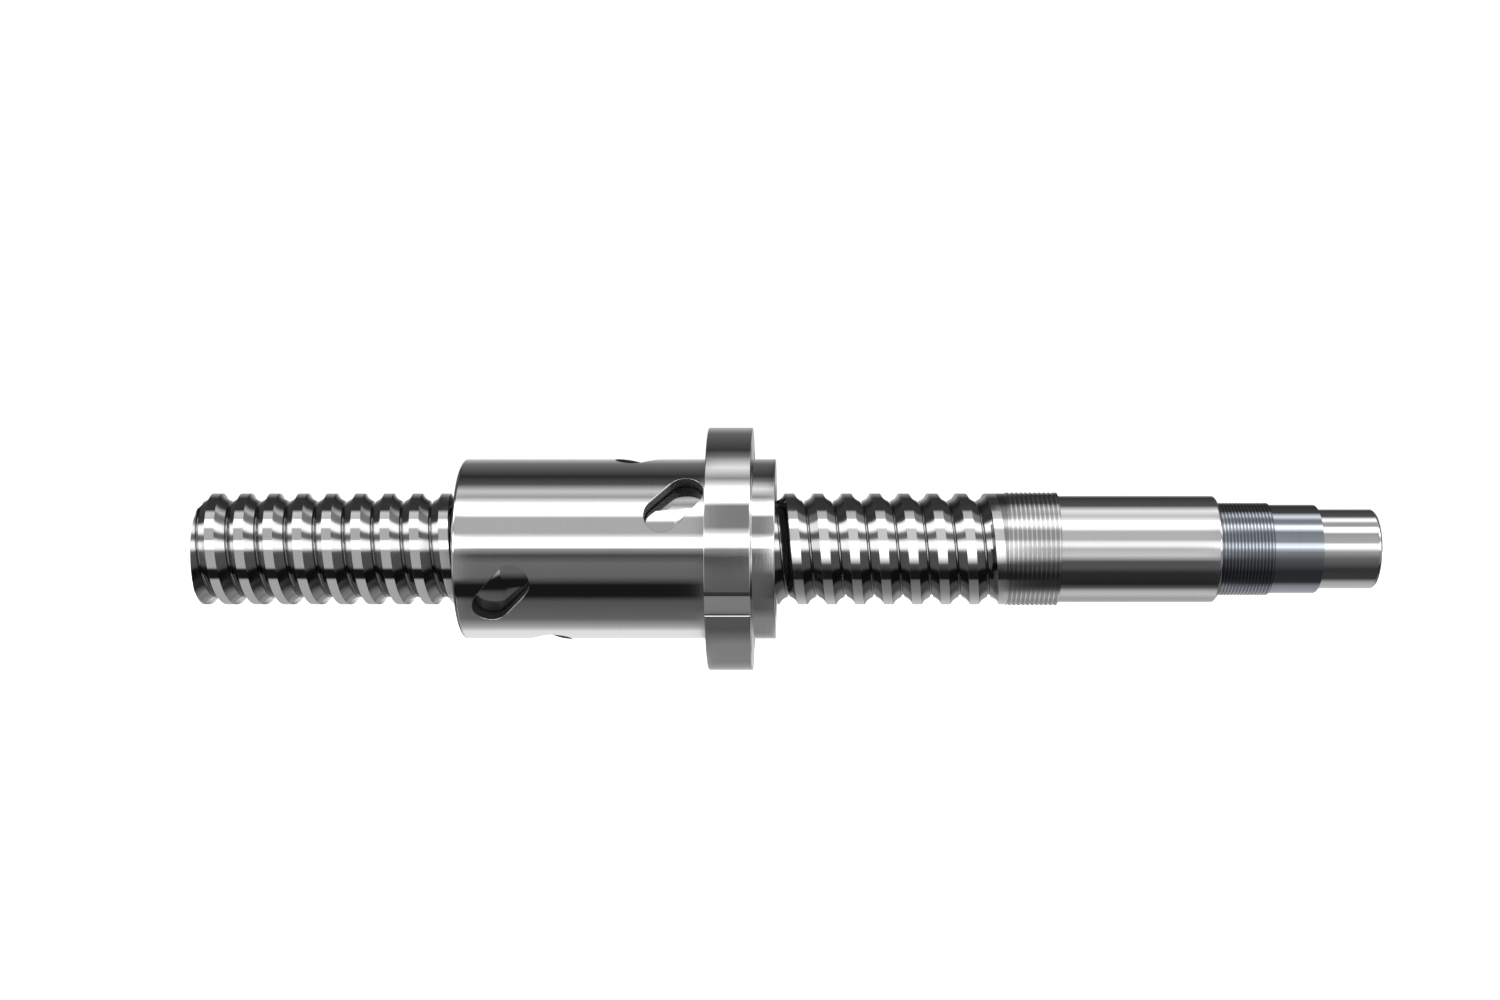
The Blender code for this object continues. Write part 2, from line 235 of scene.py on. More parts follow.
def turned_coords(nt, along=2600.0, round_=3.0):
    """Coordinates for marks left by turning or grinding about the X axis."""
    tc = nt.nodes.new("ShaderNodeTexCoord")
    sep = nt.nodes.new("ShaderNodeSeparateXYZ")
    link(nt, tc.outputs["Object"], sep.inputs[0])
    yy = math_node(nt, "MULTIPLY", sep.outputs["Y"], sep.outputs["Y"])
    zz = math_node(nt, "MULTIPLY", sep.outputs["Z"], sep.outputs["Z"])
    r = math_node(nt, "SQRT", math_node(nt, "ADD", yy, zz))
    comb = nt.nodes.new("ShaderNodeCombineXYZ")
    link(nt, math_node(nt, "MULTIPLY", math_node(nt, "ADD", sep.outputs["X"], math_node(nt, "MULTIPLY", r, 0.73)), along), comb.inputs[0])
    link(nt, math_node(nt, "MULTIPLY", sep.outputs["Y"], round_ * 10), comb.inputs[1])
    link(nt, math_node(nt, "MULTIPLY", sep.outputs["Z"], round_ * 10), comb.inputs[2])
    return comb.outputs[0], tc.outputs["Object"]


def noise(nt, vec, scale, detail=3.0, rough=0.55):
    n = nt.nodes.new("ShaderNodeTexNoise")
    n.inputs["Scale"].default_value = scale
    n.inputs["Detail"].default_value = detail
    n.inputs["Roughness"].default_value = rough
    link(nt, vec, n.inputs["Vector"])
    return n.outputs["Fac"]


def map_range(nt, value, a, b, c, d):
    n = nt.nodes.new("ShaderNodeMapRange")
    n.inputs["From Min"].default_value = a
    n.inputs["From Max"].default_value = b
    n.inputs["To Min"].default_value = c
    n.inputs["To Max"].default_value = d
    link(nt, value, n.inputs["Value"])
    return n.outputs["Result"]


def ramp(nt, fac, stops, mode="LINEAR"):
    n = nt.nodes.new("ShaderNodeValToRGB")
    cr = n.color_ramp
    cr.interpolation = mode
    while len(cr.elements) > 1:
        cr.elements.remove(cr.elements[-1])
    first = True
    for pos, col in stops:
        e = cr.elements[0] if first else cr.elements.new(pos)
        e.position = pos
        e.color = (*col, 1.0) if len(col) == 3 else col
        first = False
    link(nt, fac, n.inputs["Fac"])
    return n.outputs["Color"]


def steel(name, base, rough, marks=0.05, aniso=0.35, along=2600.0, spread=0.03, tint=0.03, metal=1.0):
    """Machined steel: fine marks round the axis, faint stain, uneven polish."""
    mat, nt, bsdf = new_material(name)
    vec, obj = turned_coords(nt, along)
    fine = noise(nt, vec, 1.0, 4.0, 0.6)
    cloud = noise(nt, obj, 42.0, 4.0, 0.55)
    smear = noise(nt, obj, 260.0, 3.0, 0.6)
    mix = math_node(nt, "ADD", math_node(nt, "MULTIPLY", fine, 0.5), math_node(nt, "MULTIPLY", cloud, 0.35))
    mix = math_node(nt, "ADD", mix, math_node(nt, "MULTIPLY", smear, 0.15))
    link(nt, map_range(nt, mix, 0.3, 0.7, rough - spread, rough + spread), bsdf.inputs["Roughness"])
    lo = tuple(max(0.0, c * (1 - tint)) for c in base)
    hi = tuple(min(1.0, c * (1 + tint)) for c in base)
    link(nt, ramp(nt, mix, [(0.30, lo), (0.70, hi)]), bsdf.inputs["Base Color"])
    bsdf.inputs["Metallic"].default_value = metal
    bsdf.inputs["Anisotropic"].default_value = aniso
    if aniso > 0:
        tan = nt.nodes.new("ShaderNodeTangent")
        tan.direction_type = "RADIAL"
        tan.axis = "X"
        link(nt, tan.outputs[0], bsdf.inputs["Tangent"])
    bump = nt.nodes.new("ShaderNodeBump")
    bump.inputs["Strength"].default_value = marks
    bump.inputs["Distance"].default_value = 0.00002
    link(nt, fine, bump.inputs["Height"])
    link(nt, bump.outputs["Normal"], bsdf.inputs["Normal"])
    return mat


def plastic(name, base, rough):
    mat, nt, bsdf = new_material(name)
    tc = nt.nodes.new("ShaderNodeTexCoord")
    grain = noise(nt, tc.outputs["Object"], 2200.0, 3.0, 0.6)
    cloud = noise(nt, tc.outputs["Object"], 90.0, 3.0, 0.5)
    lo = tuple(c * 0.8 for c in base)
    hi = tuple(c * 1.25 for c in base)
    link(nt, ramp(nt, cloud, [(0.35, lo), (0.65, hi)]), bsdf.inputs["Base Color"])
    link(nt, map_range(nt, grain, 0.3, 0.7, rough - 0.08, rough + 0.08), bsdf.inputs["Roughness"])
    bsdf.inputs["Metallic"].default_value = 0.0
    bump = nt.nodes.new("ShaderNodeBump")
    bump.inputs["Strength"].default_value = 0.25
    bump.inputs["Distance"].default_value = 0.00003
    link(nt, grain, bump.inputs["Height"])
    link(nt, bump.outputs["Normal"], bsdf.inputs["Normal"])
    return mat


M_SCREW = steel("screw_ground_steel", (0.80, 0.805, 0.80), 0.06, aniso=0.1, spread=0.02)
# darker copy of the screw steel for the ball groove: painted shade in the groove
M_GROOVE_SHADE = steel("screw_groove_painted_shade", (0.335, 0.34, 0.335), 0.12, aniso=0.0)
M_JOURNAL = steel("journal_ground_steel", (0.80, 0.803, 0.80), 0.045, aniso=0.1, spread=0.015)
M_THREAD = steel("fine_thread_steel", (0.80, 0.803, 0.80), 0.07, aniso=0.1, spread=0.02)
# darker copy of the thread steel for the fine thread roots: painted shade in the roots
M_ROOT_SHADE = steel("fine_thread_root_painted_shade", (0.44, 0.442, 0.44), 0.12, aniso=0.0)
M_BLUED = steel("blued_thread_steel", (0.475, 0.51, 0.565), 0.055, aniso=0.1, spread=0.02, tint=0.06)
# darker copy of the blued steel for its thread roots: painted shade in the roots
M_BLUED_ROOT_SHADE = steel("blued_thread_root_painted_shade", (0.19, 0.205, 0.235), 0.14, aniso=0.0)
M_NUT = steel("nut_ground_steel", (0.79, 0.795, 0.79), 0.05, aniso=0.1, spread=0.015)
# darker copy of the nut steel for the bore's ball track and the window chamfers: painted shade that dims their
# highlights
M_BORE_SHADE = steel("nut_bore_painted_shade", (0.42, 0.425, 0.42), 0.22)
# near-black copy of the steel for the window and notch walls: painted shade
M_WALL_SHADE = steel("window_wall_painted_shade", (0.028, 0.028, 0.028), 0.5, aniso=0.0, metal=0.5)
M_MILL = steel("milled_steel", (0.15, 0.15, 0.15), 0.55, aniso=0.0, metal=0.3)
M_INSERT = steel("insert_steel", (0.70, 0.705, 0.70), 0.07, aniso=0.0, spread=0.02)
M_BALL = steel("ball_steel", (0.86, 0.86, 0.87), 0.05, marks=0.0, aniso=0.0)
M_RING = steel("spring_steel", (0.16, 0.155, 0.15), 0.34, aniso=0.0)
M_PLUG = steel("plug_steel", (0.13, 0.13, 0.13), 0.36, aniso=0.0)
M_WIPER = plastic("wiper_plastic", (0.035, 0.036, 0.038), 0.42)

# ------------------------------------------------------------------- camera
cam_data = bpy.data.cameras.new("camera")
cam_data.lens = 47.76
cam_data.sensor_width = 36.0
cam_data.shift_x = -0.0382
cam_data.shift_y = 0.0327
cam_data.clip_start = 0.01
cam = bpy.data.objects.new("camera", cam_data)
cam.location = (0.0065, -0.698, 0.0)
cam.rotation_euler = (radians(90), 0, 0)
coll.objects.link(cam)
bpy.context.scene.camera = cam


# -------------------------------------------------------------- screw shaft
class Section:
    """A stretch of surface between two planes, with an open loop at each."""

    def __init__(self, bm, x0, x1, loop0, loop1):
        self.bm, self.x0, self.x1, self.loop0, self.loop1 = bm, x0, x1, loop0, loop1


def angle_of(v):
    return atan2(v.co.z, -v.co.y)


def strip(bm, a, b, mat):
    """Fill the flat ring between two loops round the axis."""
    a = sorted(a, key=angle_of)
    b = sorted(b, key=angle_of)
    na, nb = len(a), len(b)
    i = j = 0
    ang_a = [angle_of(v) for v in a] + [angle_of(a[0]) + 2 * pi]
    ang_b = [angle_of(v) for v in b] + [angle_of(b[0]) + 2 * pi]
    while i < na or j < nb:
        if j >= nb or (i < na and ang_a[i + 1] <= ang_b[j + 1]):
            tri = (a[i % na], a[(i + 1) % na], b[j % nb])
            i += 1
        else:
            tri = (a[i % na], b[(j + 1) % nb], b[j % nb])
            j += 1
        if len(set(tri)) == 3 and bm.faces.get(tri) is None:
            f = bm.faces.new(tri)
            f.material_index = mat


def helical(bm, x0, x1, lead, columns, segs, phase, mats, snap=0.05):
    """Helical surface between two planes, cut off square.

    columns(t, n) gives [(x offset, r)] for turn n at angle t, and phase is the x
    of offset 0 at t = 0 for n = 0.  mats gives a material for each column.
    Returns the two open loops.
    """
    before = set(bm.verts)
    k = len(mats)
    n0 = floor((x0 - phase) / lead) - 2
    n1 = floor((x1 - phase) / lead) + 3
    grid = {}
    for s in range(segs):
        t = 360.0 * s / segs
        base = phase - lead * t / 360.0
        for n in range(n0, n1 + 1):
            for c, (off, r) in enumerate(columns(t, n, base + lead * n)):
                grid[s, n * k + c] = bm.verts.new(polar(base + lead * n + off, r, t))

    def vert(s, m):
        return grid.get((0, m - k)) if s == segs else grid.get((s, m))

    new_faces = []
    for s in range(segs):
        for m in range(n0 * k, (n1 + 1) * k - 1):
            q = (vert(s, m), vert(s, m + 1), vert(s + 1, m + 1), vert(s + 1, m))
            if None not in q:
                f = bm.faces.new(q)
                f.material_index = mats[m % k]
                new_faces.append(f)
    mine = [v for v in bm.verts if v not in before]
    loops = []
    for x, side in ((x0, -1), (x1, 1)):
        plane = x * MM
        mine = [v for v in mine if v.is_valid]
        for v in mine:
            if abs(v.co.x - plane) < snap * MM:
                v.co.x = plane
        mset = set(mine)
        edges = {e for v in mine for e in v.link_edges}
        faces = {f for v in mine for f in v.link_faces}
        res = bmesh.ops.bisect_plane(bm, geom=list(mset) + list(edges) + list(faces), dist=1e-8,
                                     plane_co=(plane, 0, 0), plane_no=(side, 0, 0), clear_outer=True)
        mine = [v for v in bm.verts if v not in before]
    loose = [v for v in mine if not v.link_faces]
    bmesh.ops.delete(bm, geom=loose, context="VERTS")
    for x in (x0, x1):
        plane = x * MM
        loop = set()
        for v in bm.verts:
            if v in before or abs(v.co.x - plane) > 1e-6:
                continue
            for e in v.link_edges:
                if e.is_boundary and all(abs(w.co.x - plane) < 1e-6 for w in e.verts):
                    loop.update(e.verts)
        loops.append(list(loop))
    return loops


def turned(bm, profile, segs, mats):
    """Open turned surface; returns its two end loops."""
    rows = [[bm.verts.new(polar(x, r, 360.0 * s / segs)) for s in range(segs)] for x, r in profile]
    for i, (a, b) in enumerate(zip(rows, rows[1:])):
        for s in range(segs):
            n = (s + 1) % segs
            f = bm.faces.new((a[s], a[n], b[n], b[s]))
            f.material_index = mats if isinstance(mats, int) else mats[i]
    return rows[0], rows[-1]


# half of the groove, from the land's edge to the relief at the bottom: (u, r)
GROOVE = [(LEAD / 2 - CREST_HALF, SCREW_R - 0.05), (3.05, 18.87), (2.45, 18.03), (1.60, 17.40),
          (0.55, 16.86), (0.40, 16.36), (0.14, 16.02)]


def ball_thread_columns(t, n, crest_x):
    """One lead of the ball thread, from its crest line."""
    g = crest_x + LEAD / 2
    lift = 0.0
    if g > GROOVE_END_X:
        lift = min(1.0, (g - GROOVE_END_X) / (GROOVE_GONE_X - GROOVE_END_X)) * 3.6
    out = [(-(CREST_HALF - 0.05), SCREW_R), (CREST_HALF - 0.05, SCREW_R)]
    for u, r in GROOVE:
        out.append((LEAD / 2 - u, min(r + lift, SCREW_R)))
    for u, r in reversed(GROOVE):
        out.append((LEAD / 2 + u, min(r + lift, SCREW_R)))
    return out


def thread_normals(ob):
    """Ground flanks: each side of the groove reflects as one even 26 degree face."""
    me = ob.data
    normals = [Vector(c.vector) for c in me.corner_normals]
    for poly in me.polygons:
        c = poly.center
        x, rad = c.x / MM, hypot(c.y, c.z) / MM
        if rad < 4.5:
            continue
        ec = Vector((0, c.y, c.z)).normalized()
        fine = poly.material_index in (3, 4, 5, 6)
        if poly.material_index > 1 and not fine and poly.normal.dot(ec) < 0.9995:
            continue
        if fine and poly.normal.dot(ec) < 0.4:
            continue
        groove = poly.material_index == 1 and -204.4 < x < GROOVE_END_X - 1.0
        if poly.material_index == 1 and not groove:
            continue
        for li in poly.loop_indices:
            v = me.vertices[me.loops[li].vertex_index].co
            t = atan2(v.z, -v.y)
            er = Vector((0, -cos(t), sin(t)))
            if not groove:
                if poly.material_index > 0 or rad > SCREW_R - 0.02:
                    normals[li] = er
                continue
            u = (v.x / MM - phase + LEAD * degrees(t) / 360.0) % LEAD - LEAD / 2
            cu = (x - phase + LEAD * degrees(atan2(c.z, -c.y)) / 360.0) % LEAD - LEAD / 2
            if abs(cu) < 0.5 or abs(cu) > 3.4:
                continue
            lean = radians(24.5 + 3.0 * min(1.0, max(0.0, (abs(u) - 0.6) / 2.6)))
            nn = er * cos(lean) - Vector((1 if cu > 0 else -1, 0, 0)) * sin(lean)
            normals[li] = nn.normalized()
    me.normals_split_custom_set(normals)


def v_columns(pitch, r, depth, flat, root, x0, x1, fade):
    """Fine V thread that runs out over its last stretch at each end."""
    def cols(t, n, crest_x):
        g = crest_x + pitch / 2
        d = depth * max(0.0, min(1.0, (g - x0) / fade, (x1 - g) / fade))
        h = pitch / 2
        return [(-flat, r), (flat, r), (h - root, r - d), (h + root, r - d)]
    return cols


SCREW_MATS = [M_SCREW, M_GROOVE_SHADE, M_JOURNAL, M_THREAD, M_BLUED, M_ROOT_SHADE, M_BLUED_ROOT_SHADE, M_MILL]
bm = bmesh.new()
phase = CREST_X0 + LEAD * CREST_T0 / 360.0
nk = len(ball_thread_columns(0, 0, 0.0))
# the groove columns take the darker groove steel (index 1): painted shade in the groove
mats = [0] + [1] * (nk - 2) + [0]
left, end_a = helical(bm, -204.5, 75.3, LEAD, ball_thread_columns, 120, phase, mats)
# left end face with its centre hole
e0, e1 = turned(bm, [(-204.5, 4.2), (-204.35, 3.95), (-201.2, 2.0), (-196.5, 2.0), (-195.4, 0.05)], 48, 2)
strip(bm, left, e0, 2)
bm.faces.new(e1).material_index = 2
# adjusting thread; its roots take the darker root steel, painted shade
b0, b1 = helical(bm, 75.3, 93.5, 1.6, v_columns(1.6, 19.8, 0.44, 0.22, 0.06, 75.6, 93.2, 0.5), 90,
                 75.3, [3, 5, 5, 5], 0.01)
strip(bm, end_a, b0, 3)
j0, j1 = turned(bm, rounded([(93.5, 18.6, 0), (148.1, 18.6, 0.25), (148.7, 18.0, 0.2), (148.7, 17.0, 0)], 0.2, 3), 180, 2)
strip(bm, b1, j0, 3)
# blued fine thread; its roots take the darker blued root steel, painted shade
c0, c1 = helical(bm, 148.7, 167.1, 1.17, v_columns(1.17, 16.15, 0.28, 0.2, 0.05, 149.2, 166.6, 0.6), 90,
                 148.9, [4, 6, 6, 6], 0.01)
strip(bm, j1, c0, 4)
d0, d1 = turned(bm, rounded([(167.1, 15.5, 0), (183.7, 15.5, 0.25), (184.1, 15.1, 0.1), (184.1, 13.9, 0),
                             (184.1, 13.9, 0)], 0.2, 3)[:-1], 180, 4)
strip(bm, c1, d0, 4)
f0, f1 = turned(bm, rounded([(184.1, 13.89, 0), (203.7, 13.9, 0.3), (204.5, 13.1, 0.15), (204.5, 4.2, 0.05),
                             (204.35, 3.95, 0.05), (201.2, 2.0, 0.1), (196.5, 2.0, 0), (195.4, 0.05, 0)], 0.2, 3), 180, 2)
strip(bm, d1, f0, 2)
bm.faces.new(f1).material_index = 2
bmesh.ops.remove_doubles(bm, verts=bm.verts[:], dist=2e-6)
for f in bm.faces:      # drilled centre holes
    if f.calc_center_median().yz.length < 4.15 * MM:
        f.material_index = 7
screw = finish_object("screw_shaft_detail", bm, SCREW_MATS, sharp=24.0)
thread_normals(screw)
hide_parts("screw_shaft")
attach(screw, "screw")


# ----------------------------------------------------------------- nut body
def obround_outline(long, wide, arc=24, grow=0.0, scale=1.0):
    half, rad = (long - wide) / 2, wide / 2 + grow
    out = []
    for side in (1, -1):
        for i in range(arc + 1):
            a = pi * (i / arc) - pi / 2
            out.append((side * (half + rad * cos(a)) * scale, side * rad * sin(a) * scale))
    return out


def slot_sections(xk, tk, levels, arc=24, long=SLOT_LONG, wide=SLOT_WIDE):
    """levels: (kind, radius, grow[, scale]): flat at a height, or laid on a cylinder."""
    normal, tangent = slot_frame(tk)
    lean = radians(SLOT_ANGLE)
    axis = Vector((1, 0, 0)) * cos(lean) + tangent * sin(lean)
    across = normal.cross(axis)
    rows = []
    for kind, rad, grow, *scale in levels:
        row = []
        for u, v in obround_outline(long, wide, arc, grow, *scale):
            p = axis * u + across * v
            tt = p.dot(tangent)
            h = rad if kind == "flat" else sqrt(rad * rad - tt * tt)
            row.append((Vector((xk + SLOT_SHIFT, 0, 0)) + p + normal * h) * MM)
        rows.append(row)
    return rows


def slot_centre(xk, tk, rad):
    return (Vector((xk + SLOT_SHIFT, 0, 0)) + slot_frame(tk)[0] * rad) * MM


BORE = 20.2
SEG = 360
gl, gr = NUT_LEFT + RING_IN, NUT_RIGHT - RING_IN
profile = rounded([
    (NUT_LEFT, 29.0, 0), (NUT_LEFT, NUT_R - 0.8, 0.25), (NUT_LEFT + 0.8, NUT_R, 0.35),
    (FLANGE_LEFT, NUT_R, 0.15), (FLANGE_LEFT, FLANGE_R - 0.2, 0.08), (FLANGE_LEFT + 0.2, FLANGE_R, 0.08),
    (FLANGE_RIGHT - 0.2, FLANGE_R, 0.08), (FLANGE_RIGHT, FLANGE_R - 0.2, 0.08), (FLANGE_RIGHT, NUT_R, 0.15),
    (NUT_RIGHT - 0.25, NUT_R, 0.1), (NUT_RIGHT, NUT_R - 0.25, 0.1),
    (NUT_RIGHT, 24.8, 0.1), (NUT_RIGHT - 0.3, 24.5, 0.1), (gr, 24.5, 0), (gr, 25.6, 0),
    (gr - RING_W, 25.6, 0), (gr - RING_W, 24.5, 0), (NUT_RIGHT - RECESS, 24.5, 0), (NUT_RIGHT - RECESS, 19.6, 0),
    (NUT_LEFT + RECESS, 19.6, 0), (NUT_LEFT + RECESS, 24.5, 0), (gl + RING_W, 24.5, 0), (gl + RING_W, 25.6, 0),
    (gl, 25.6, 0), (gl, 24.5, 0), (NUT_LEFT + 0.3, 24.5, 0.1), (NUT_LEFT, 24.8, 0.1),
    (NUT_LEFT, 29.0, 0)], 0.2, 3)
profile[-1] = profile[0]
NUT_MATS = [M_NUT, M_BORE_SHADE, M_WALL_SHADE, M_MILL]
nut = finish_object("nut_body_detail", revolve_bm(profile, SEG), NUT_MATS, sharp=30)


def nut_columns(t, n, crest_x):
    half = 3.5
    out = [(-(LEAD / 2 - half), BORE), (LEAD / 2 - half, BORE)]
    for u in (-0.95, -0.8, -0.6, -0.35, 0.0, 0.35, 0.6, 0.8, 0.95):
        out.append((LEAD / 2 + u * half, BALL_PITCH_R - 0.05 + sqrt(3.55 ** 2 - (u * half) ** 2)))
    return out


tbm = bmesh.new()
la, lb = helical(tbm, NUT_LEFT + 4.0, NUT_RIGHT - 4.0, LEAD, nut_columns, 64, phase,
                 [1] * len(nut_columns(0, 0, 0)))
for loop in (la, lb):
    c = tbm.verts.new((loop[0].co.x, 0, 0))
    ordered = sorted(loop, key=angle_of)
    for i in range(len(ordered)):
        tbm.faces.new((ordered[i], ordered[(i + 1) % len(ordered)], c)).material_index = 1
tool = cutter("t_thread", tbm)
for m in NUT_MATS:
    tool.data.materials.append(m)
# the ball track cut into the bore takes the darker bore steel: painted shade inside the bore
for p in tool.data.polygons:
    p.material_index = 1
tools = [tool]


def add_tool(name, bm_, mat_index):
    t_ = cutter(name, bm_)
    for m in NUT_MATS:
        t_.data.materials.append(m)
    if mat_index is not None:
        for p in t_.data.polygons:
            p.material_index = mat_index
    tools.append(t_)
    return t_


for k, (xk, tk) in enumerate(SLOTS):
    # the window's outer chamfer ring takes the darker bore steel (index 1): painted shade that dims its edge highlight
    rows = slot_sections(xk, tk, [("flat", 17.0, 0.0), ("round", NUT_R - 0.1, 0.0), ("round", NUT_R + 0.2, 0.3),
                                  ("flat", 35.0, 0.3)])
    window = loft_bm(rows, fan=True)
    window.faces.ensure_lookup_table()
    for i, f in enumerate(window.faces):
        # the window walls take the near-black wall steel (index 2): painted shade inside the windows
        f.material_index = 1 if len(rows[0]) <= i < 2 * len(rows[0]) else 2
    add_tool(f"t_slot_{k}", window, None)
for i in range(6):
    hole = revolve_bm([(FLANGE_LEFT - 1.0, 4.6), (FLANGE_LEFT + 0.3, 3.3), (FLANGE_RIGHT - 0.3, 3.3),
                       (FLANGE_RIGHT + 1.0, 4.6)], 48, 3.0)
    bmesh.ops.translate(hole, vec=polar(0, 37.0, 60.0 * i), verts=hole.verts[:])
    add_tool(f"t_bolt_{i}", hole, 3)


def radial_prism(t, x, outline, levels):
    normal, tangent = slot_frame(t)
    return [[(Vector((x, 0, 0)) + Vector((1, 0, 0)) * a * s + tangent * b * s + normal * r) * MM
             for a, b in outline] for r, s in levels]


normal, tangent = slot_frame(-25.7)
half, deep = 4.4, FLANGE_R - 1.2
section = [(-half - 0.75, FLANGE_R + 0.5), (-half, FLANGE_R - 0.4), (-half, deep + 0.2), (-half + 0.2, deep),
           (half - 1.9, deep), (half - 1.5, deep + 0.1), (half, FLANGE_R - 0.4), (half + 0.3, FLANGE_R + 0.5)]
rows = []
for x in (FLANGE_LEFT - 1, FLANGE_RIGHT + 1):
    rows.append([(Vector((x, 0, 0)) + tangent * a + normal * b) * MM for a, b in section])
# the notch walls take the near-black wall steel (index 2): painted shade in the notch
rim = loft_bm(rows)
rim.faces.ensure_lookup_table()
for i, f in enumerate(rim.faces):
    f.material_index = (0, 2, 2, 3, 2, 2, 0)[i] if i < 7 else 0
add_tool("t_rim", rim, None)
circle = [(cos(2 * pi * i / 64), sin(2 * pi * i / 64)) for i in range(64)]
add_tool("t_port", loft_bm(radial_prism(150.0, -20.0, circle,
                                        [(21.0, 3.9), (FLANGE_R - 0.45, 3.9), (FLANGE_R + 0.6, 5.0)])), 3)
boolean(nut, tools)
turned_normals(nut)
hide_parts("nut_body")
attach(nut, "nut")


# -------------------------------------------------- deflectors and the balls
def crossing(t):
    if abs(t) >= CROSS_HALF_T:
        side = -1 if t < 0 else 1
        return side * LEAD / 2 - LEAD * t / 360.0, BALL_PITCH_R
    w = (t + CROSS_HALF_T) / (2 * CROSS_HALF_T)
    x_lo = -LEAD / 2 + LEAD * CROSS_HALF_T / 360.0
    slope = -LEAD * 2 * CROSS_HALF_T / 360.0
    h00, h10 = 2 * w ** 3 - 3 * w ** 2 + 1, w ** 3 - 2 * w ** 2 + w
    h01, h11 = -2 * w ** 3 + 3 * w ** 2, w ** 3 - w ** 2
    return (h00 * x_lo + h10 * slope - h01 * x_lo + h11 * slope,
            BALL_PITCH_R + CROSS_LIFT * (0.5 - 0.5 * cos(2 * pi * w)) ** 0.6)


def circuit_points(xk, tk, count=900):
    """Ball-centre path of one circuit as points in mm."""
    pts = []
    for i in range(count):
        t = -CROSS_HALF_T + 360.0 * i / count
        if t < CROSS_HALF_T:
            x, r = crossing(t)
        else:
            x, r = LEAD / 2 - LEAD * t / 360.0, BALL_PITCH_R
        pts.append(polar(xk + x, r, tk + t) / MM)
    return pts


ico = bmesh.new()
bmesh.ops.create_icosphere(ico, subdivisions=3, radius=BALL_R * MM)
ICO_V = [v.co.copy() for v in ico.verts]
ICO_F = [[v.index for v in f.verts] for f in ico.faces]
ico.free()

for k, (xk, tk) in enumerate(SLOTS):
    rows = slot_sections(xk, tk, [("flat", 13.0, -0.3), ("round", INSERT_OUT_R - 0.14, -0.3),
                                  ("round", INSERT_OUT_R, -0.44)]
                         + [("round", INSERT_OUT_R, -0.44, w / 8) for w in range(7, 0, -1)], 24)
    # crowned outer face that follows the nut's curve
    ins_bm = bmesh.new()
    levels = [[ins_bm.verts.new(p) for p in row] for row in rows]
    for a, b in zip(levels, levels[1:]):
        for s in range(len(a)):
            n = (s + 1) % len(a)
            ins_bm.faces.new((a[s], a[n], b[n], b[s]))
    ins_bm.faces.new(levels[0])
    hub = ins_bm.verts.new(slot_centre(xk, tk, INSERT_OUT_R))
    for s in range(len(levels[-1])):
        ins_bm.faces.new((levels[-1][s], levels[-1][(s + 1) % len(levels[-1])], hub))
    insert = finish_object(f"deflector_{k + 1}_detail", ins_bm, [M_INSERT], sharp=30)
    core = cutter(f"c_{k}", revolve_bm([(xk - 17, INSERT_IN_R), (xk + 17, INSERT_IN_R)], 180))
    sections = []
    for i in range(31):
        t = -40.0 + 80.0 * i / 30
        xa, _ = crossing(t - 0.4)
        xb, _ = crossing(t + 0.4)
        x, r = crossing(t)
        normal, tangent = slot_frame(tk + t)
        along_ = (Vector((xb - xa, 0, 0)) + tangent * radians(0.8) * r).normalized()
        side = along_.cross(normal)
        mid = polar(xk + x, r, tk + t)
        shape = [(-3.3, -(r - 17.0)), (3.3, -(r - 17.0))]
        shape += [(3.3 * cos(pi * j / 14), 3.3 * sin(pi * j / 14)) for j in range(15)]
        sections.append([mid + (side * a + normal * b) * MM for a, b in shape])
    chan = cutter(f"h_{k}", loft_bm(sections))
    boolean(insert, [core, chan])
    if not insert.data.materials:
        insert.data.materials.append(M_INSERT)
    turned_normals(insert, crown=INSERT_OUT_R)
    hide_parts(f"deflector_{k + 1}")
    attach(insert, "nut")

    pts = circuit_points(xk, tk)
    seg = [(pts[(i + 1) % len(pts)] - pts[i]).length for i in range(len(pts))]
    total = sum(seg)
    verts, faces = [], []
    for b in range(20):
        want = total * b / 20
        i, run = 0, 0.0
        while run + seg[i] < want:
            run += seg[i]
            i += 1
        p = pts[i].lerp(pts[(i + 1) % len(pts)], (want - run) / seg[i]) * MM
        base = len(verts)
        verts += [(p + v)[:] for v in ICO_V]
        faces += [[base + j for j in f] for f in ICO_F]
    me = bpy.data.meshes.new(f"balls_{k + 1}")
    me.from_pydata(verts, [], faces)
    me.materials.append(M_BALL)
    me.shade_smooth()
    balls = bpy.data.objects.new(f"balls_{k + 1}", me)
    coll.objects.link(balls)
    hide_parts(f"ball_train_{k + 1}")
    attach(balls, "nut")


